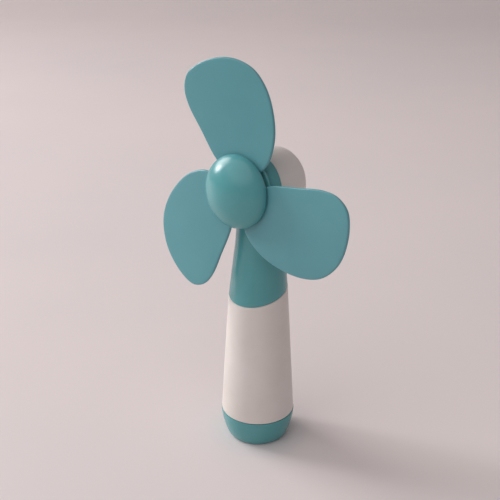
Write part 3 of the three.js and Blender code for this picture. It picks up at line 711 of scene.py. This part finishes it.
def make_rear_cover():
    """Thin cup with a soft corner, and inside it a post and a well for each screw."""
    front = POD_SEAM - GAP
    lip = [(POD_RADIUS, front - 0.25), (POD_RADIUS - 0.07, front - 0.07), (POD_RADIUS - 0.25, front)]
    profile = [
        (0, POD_REAR), *cover_edge(POD_RADIUS, POD_REAR)[::-1], *lip, (POD_RADIUS - WALL, front),
        *cover_edge(POD_RADIUS - WALL, POD_REAR + WALL), (0, POD_REAR + WALL),
    ]
    cover = turned("rear_cover_piece", profile, HEAD)
    for side in (-1, 1):
        place = screw_frame(side)
        inside = POD_REAR + 1
        post = [(0, inside), (POST_RADIUS, inside), (POST_RADIUS, POST_FRONT), (0, POST_FRONT)]
        chamfer = [(0, POD_REAR - 1), (WELL_RADIUS + 0.7, POD_REAR - 1), (WELL_RADIUS, POD_REAR + 0.45)]
        well = [*chamfer, (WELL_RADIUS, SCREW_SEAT), (0, SCREW_SEAT)]
        hole = [(0, SCREW_SEAT - 1), (SCREW_HOLE, SCREW_SEAT - 1), (SCREW_HOLE, 4), (0, 4)]
        boolean(cover, "UNION", turned("post", post, place, 48))
        boolean(cover, "DIFFERENCE", turned("well", well, place, 48), turned("hole", hole, place, 48))
    return cover


def make_screw(number, side):
    """Pan-head screw with a cross recess."""
    place = screw_frame(side)
    seat = SCREW_SEAT - GAP
    pan = ((0, 1.3), (0.9, 1.25), (1.5, 1.05), (1.8, 0.7), (1.9, 0.4), (1.9, 0))
    head = [(radius, seat - rise) for radius, rise in pan]
    shank = [(1.0, seat), (1.0, -0.1), (0.6, 0.3)]
    thread = []
    for turn in range(8):
        thread += [(0.6, 0.5 + 0.75 * turn), (0.82, 0.87 + 0.75 * turn)]
    screw = turned(f"screw_piece_{number}", [*head, *shank, *thread, (0.6, 6.6), (0, 7.2)], place, 40)
    for turn in (0.3, 0.3 + math.pi / 2):
        spot = place @ Matrix.Rotation(turn, 4, "Z")
        bar = rounded_box("bar", (-1.15, -0.22, seat - 2), (1.15, 0.22, seat - 0.6), 0, spot)
        boolean(screw, "DIFFERENCE", bar)
    return screw


# ---- Rotor ----

def blade_frame(k):
    return HEAD @ Matrix.Rotation(FIRST_BLADE + k * 2 * math.pi / BLADE_COUNT, 4, "Z")


def peg_frame(k):
    return blade_frame(k) @ Matrix.Translation((PEG[0] * MM, PEG[1] * MM, 0))


def blade_lift(along, across):
    """How far the blade's middle surface stands in front of the blade plane."""
    beyond = along - BLADE_MIDDLE
    shaped = (BLADE_PITCH * across + BLADE_TWIST * across * beyond / BLADE_MIDDLE
              - BLADE_CROWN * across ** 2 / BLADE_HALF_WIDTH - BLADE_LEAN * beyond)
    share = np.clip((np.hypot(along, across) - ROOT_REACH) / ROOT_BLEND, 0, 1)
    share = share * share * (3 - 2 * share)
    return ROOT_LIFT * (1 - share) + shaped * share


def closed_curve(points, count):
    """Evenly spaced points on a closed centripetal Catmull-Rom curve."""
    dense = []
    total = len(points)
    for k in range(total):
        p0, p1, p2, p3 = (points[(k + step) % total] for step in (-1, 0, 1, 2))
        t0 = 0.0
        t1 = t0 + np.linalg.norm(p1 - p0) ** 0.5
        t2 = t1 + np.linalg.norm(p2 - p1) ** 0.5
        t3 = t2 + np.linalg.norm(p3 - p2) ** 0.5
        for t in np.linspace(t1, t2, 40, endpoint=False):
            a1 = (t1 - t) / (t1 - t0) * p0 + (t - t0) / (t1 - t0) * p1
            a2 = (t2 - t) / (t2 - t1) * p1 + (t - t1) / (t2 - t1) * p2
            a3 = (t3 - t) / (t3 - t2) * p2 + (t - t2) / (t3 - t2) * p3
            b1 = (t2 - t) / (t2 - t0) * a1 + (t - t0) / (t2 - t0) * a2
            b2 = (t3 - t) / (t3 - t1) * a2 + (t - t1) / (t3 - t1) * a3
            dense.append((t2 - t) / (t2 - t1) * b1 + (t - t1) / (t2 - t1) * b2)
    dense = np.array(dense)
    steps = np.linalg.norm(np.roll(dense, -1, 0) - dense, axis=1)
    reached = np.concatenate([[0], np.cumsum(steps)])
    wanted = np.linspace(0, reached[-1], count, endpoint=False)
    looped = np.vstack([dense, dense[:1]])
    return np.column_stack([np.interp(wanted, reached, looped[:, axis]) for axis in (0, 1)])


def make_blade(k):
    """Soft blade: a twisted sheet that thins a little towards a fully round edge."""
    outline = closed_curve(BLADE_OUTLINE, 180)
    tangent = np.roll(outline, -1, 0) - np.roll(outline, 1, 0)
    inward = np.column_stack([-tangent[:, 1], tangent[:, 0]])
    inward /= np.linalg.norm(inward, axis=1)[:, None]
    middle = np.array([35.0, 1.0])
    if ((middle - outline[0]) @ inward[0]) < 0:
        inward = -inward
    rings = []
    for angle in np.linspace(0, math.pi / 2, 7):
        rings.append((outline + inward * BLADE_HALF_THICKNESS * (1 - math.cos(angle)), math.sin(angle)))
    inner = rings[-1][0]
    for scale in (0.93, 0.84, 0.73, 0.6, 0.46, 0.32, 0.18, 0.07):
        rings.append((middle + (inner - middle) * scale, 1.0))
    vertices = []
    for side in (-1, 1):
        for ring, share in rings if side < 0 else rings[1:]:
            lift = BLADE_PLANE + blade_lift(ring[:, 0], ring[:, 1]) + side * share * BLADE_HALF_THICKNESS
            vertices += [(x, y, z) for (x, y), z in zip(ring, lift)]
    count = len(outline)
    rear_rows = len(rings)
    faces = []

    def stitch(first, second):
        for i in range(count):
            j = (i + 1) % count
            faces.append([first * count + i, first * count + j, second * count + j, second * count + i])

    for row in range(rear_rows - 1):
        stitch(row, row + 1)
    stitch(0, rear_rows)
    for row in range(rear_rows, 2 * rear_rows - 2):
        stitch(row, row + 1)
    for row, side in ((rear_rows - 1, -1), (2 * rear_rows - 2, 1)):
        centre = len(vertices)
        lift = BLADE_PLANE + float(blade_lift(*middle)) + side * BLADE_HALF_THICKNESS
        vertices.append((*middle, lift))
        faces += [[row * count + i, row * count + (i + 1) % count, centre] for i in range(count)]
    blade = new_object(f"blade_piece_{k + 1}", vertices, faces, blade_frame(k))
    hole = turned("peg_hole", [(0, 0), (2, 0), (2, 30), (0, 30)], peg_frame(k), 40)
    return boolean(blade, "DIFFERENCE", hole)


def make_hub():
    """Disc behind the blades, with the boss that grips the shaft and a peg for each blade."""
    rim = HUB_RADIUS - 0.4
    profile = [
        (1.2, HUB_REAR), (rim - 0.9, HUB_REAR), (rim - 0.4, HUB_REAR + 0.12), (rim - 0.1, HUB_REAR + 0.4),
        (rim, HUB_REAR + 0.9), (rim, HUB_FRONT - 0.2), (rim - 0.2, HUB_FRONT), (4.2, HUB_FRONT), (4.2, 20.4),
        (3.6, 21), (0, 21), (0, 20.1), (1.2, 20.1),
    ]
    hub = turned("hub_piece", profile, HEAD)
    peg = [(0, HUB_FRONT - 0.5), (1.7, HUB_FRONT - 0.5), (1.7, 17.3), (1.4, 17.6), (0, 17.6)]
    for k in range(BLADE_COUNT):
        boolean(hub, "UNION", turned("peg", peg, peg_frame(k), 40))
    return hub


def make_nose():
    """Hollow dome over the blades' roots."""
    def dome(radius, length, steps):
        points = superellipse(radius, 0, length, NOSE_ROUNDNESS, steps)
        points[:, 1] += NOSE_RIM
        return [tuple(p) for p in points]

    rounding = ((0.35, 0), (0.1, 0.1), (0, 0.35))
    edge = [(HUB_RADIUS - inwards, NOSE_REAR + rise) for inwards, rise in rounding]
    inner = dome(HUB_RADIUS - WALL, NOSE_LENGTH - WALL, 24)[::-1]
    profile = [*inner, (HUB_RADIUS - WALL, NOSE_REAR), *edge, *dome(HUB_RADIUS, NOSE_LENGTH, 48)]
    return turned("nose_piece", profile, HEAD)


# ---- Slider ----

def make_slider():
    """Rounded thumb pad with three grip grooves, and the stem that takes the switch's lever."""
    low, high = node_size("thumb_slider")
    face = POCKET_FLOOR + GAP
    centre = (low.z + high.z) / 2
    slider = rounded_box("slider_piece", (low.x, face, low.z), (high.x, high.y, high.z), 0.75, steps=5)
    for rise in (-2.4, 0, 2.4):
        groove = rounded_box("groove", (low.x + 1.2, high.y - 0.6, centre + rise - 0.45),
                             (high.x - 1.2, high.y + 2, centre + rise + 0.45), 0.2)
        boolean(slider, "DIFFERENCE", groove)
    stem = rounded_box("stem", (-1.7, face - 2, centre - 2), (1.7, face + 0.4, centre + 2), 0.2)
    boolean(slider, "UNION", stem)
    socket = rounded_box("socket", (-1.3, face - 3, centre - 1.4), (1.3, face - 0.4, centre + 1.4), 0.1)
    return boolean(slider, "DIFFERENCE", socket)


# ---- Floor, backdrop and lights ----

def make_stage():
    """Pale floor that sweeps up into a backdrop far behind the fan."""
    back = (CAMERA_TARGET - CAMERA_PLACE).to_2d().normalized()
    side = Vector((-back.y, back.x))
    wall, rise, reach = 1.8, 0.5, 4.0
    profile = [(-reach, 0.0), (wall - rise, 0.0)]
    for angle in np.linspace(0.1, math.pi / 2, 16):
        profile.append((wall - rise + rise * math.sin(angle), rise - rise * math.cos(angle)))
    profile.append((wall, 2.2))
    vertices = []
    for along, height in profile:
        for across in (-reach, reach):
            place = back * along + side * across
            vertices.append((place.x, place.y, height))
    faces = [[2 * k, 2 * k + 1, 2 * k + 3, 2 * k + 2] for k in range(len(profile) - 1)]
    mesh = bpy.data.meshes.new("backdrop")
    mesh.from_pydata(vertices, [], faces)
    floor = bpy.data.objects.new("backdrop", mesh)
    bpy.context.scene.collection.objects.link(floor)
    for polygon in mesh.polygons:
        polygon.use_smooth = True
    n = Nodes("backdrop")
    tint = n.mix(n.ramp(n.noise(3.0), 0.0, 1.0), colour(232, 222, 220), colour(228, 218, 218))
    n.surface(Base_Color=tint, Roughness=n.ramp(n.noise(9.0), 0.42, 0.52))
    mesh.materials.append(n.material)


def area_light(name, place, size, power, tint, spread):
    """Round soft light that faces the fan. The spread is the full angle of its beam in degrees."""
    data = bpy.data.lights.new(name, "AREA")
    data.shape = "DISK"
    data.size = size
    data.energy = power
    data.color = tint
    data.spread = math.radians(spread)
    light = bpy.data.objects.new(name, data)
    light.location = place
    aim = Vector((0, 0, 0.1)) - light.location
    light.rotation_mode = "QUATERNION"
    light.rotation_quaternion = aim.to_track_quat("-Z", "Y")
    bpy.context.scene.collection.objects.link(light)


def make_lights():
    toward = (CAMERA_PLACE - CAMERA_TARGET).to_2d().normalized()
    left = Vector((toward.y, -toward.x))

    def around(turn, rise, distance):
        """Place at an angle to the camera's left, an angle up and a distance from the head."""
        turn, rise = math.radians(turn), math.radians(rise)
        flat = (toward * math.cos(turn) + left * math.sin(turn)) * math.cos(rise) * distance
        return Vector((flat.x, flat.y, math.sin(rise) * distance + 0.1))

    area_light("window", around(122, 28, 2.4), 1.5, 10.8, (1.0, 0.98, 0.97), spread=100)
    area_light("glint", around(112, 17, 2.4), 0.45, 2.95, (1.0, 1.0, 1.0), spread=100)
    area_light("sky", around(52, 50, 2.2), 3.2, 22.0, (1.0, 0.98, 0.98), spread=180)
    world = bpy.data.worlds.new("studio")
    world.use_nodes = True
    background = next(n for n in world.node_tree.nodes if n.type == "BACKGROUND")
    background.inputs["Color"].default_value = colour(226, 220, 222)
    background.inputs["Strength"].default_value = 0.38
    bpy.context.scene.world = world
    bpy.context.scene.view_settings.view_transform = "Standard"


# ---- Assembly ----

make_camera()
make_stage()
make_lights()
materials = make_materials()
for entry in frame["record"]["subparts"]:
    mesh = frame["nodes"][entry["node"]].data
    mesh.materials.clear()
    mesh.materials.append(materials[entry["material_slot"]])

finish_piece(make_foot_cap(), "cap", "foot_cap", "teal_shell")
finish_piece(make_handle(), "body", "handle_tube", "white_shell")
finish_piece(make_housing(), "body", "motor_housing", "teal_shell")
finish_piece(make_rear_cover(), "body", "rear_cover", "white_shell")
for number, side in ((1, -1), (2, 1)):
    finish_piece(make_screw(number, side), "body", f"cover_screw_{number}", "nickel_steel")
finish_piece(make_hub(), "rotor", "hub_core", "teal_shell")
finish_piece(make_nose(), "rotor", "nose_cap", "teal_shell")
for number in range(BLADE_COUNT):
    finish_piece(make_blade(number), "rotor", f"blade_{number + 1}", "teal_blade")
finish_piece(make_slider(), "switch", "thumb_slider", "white_shell")
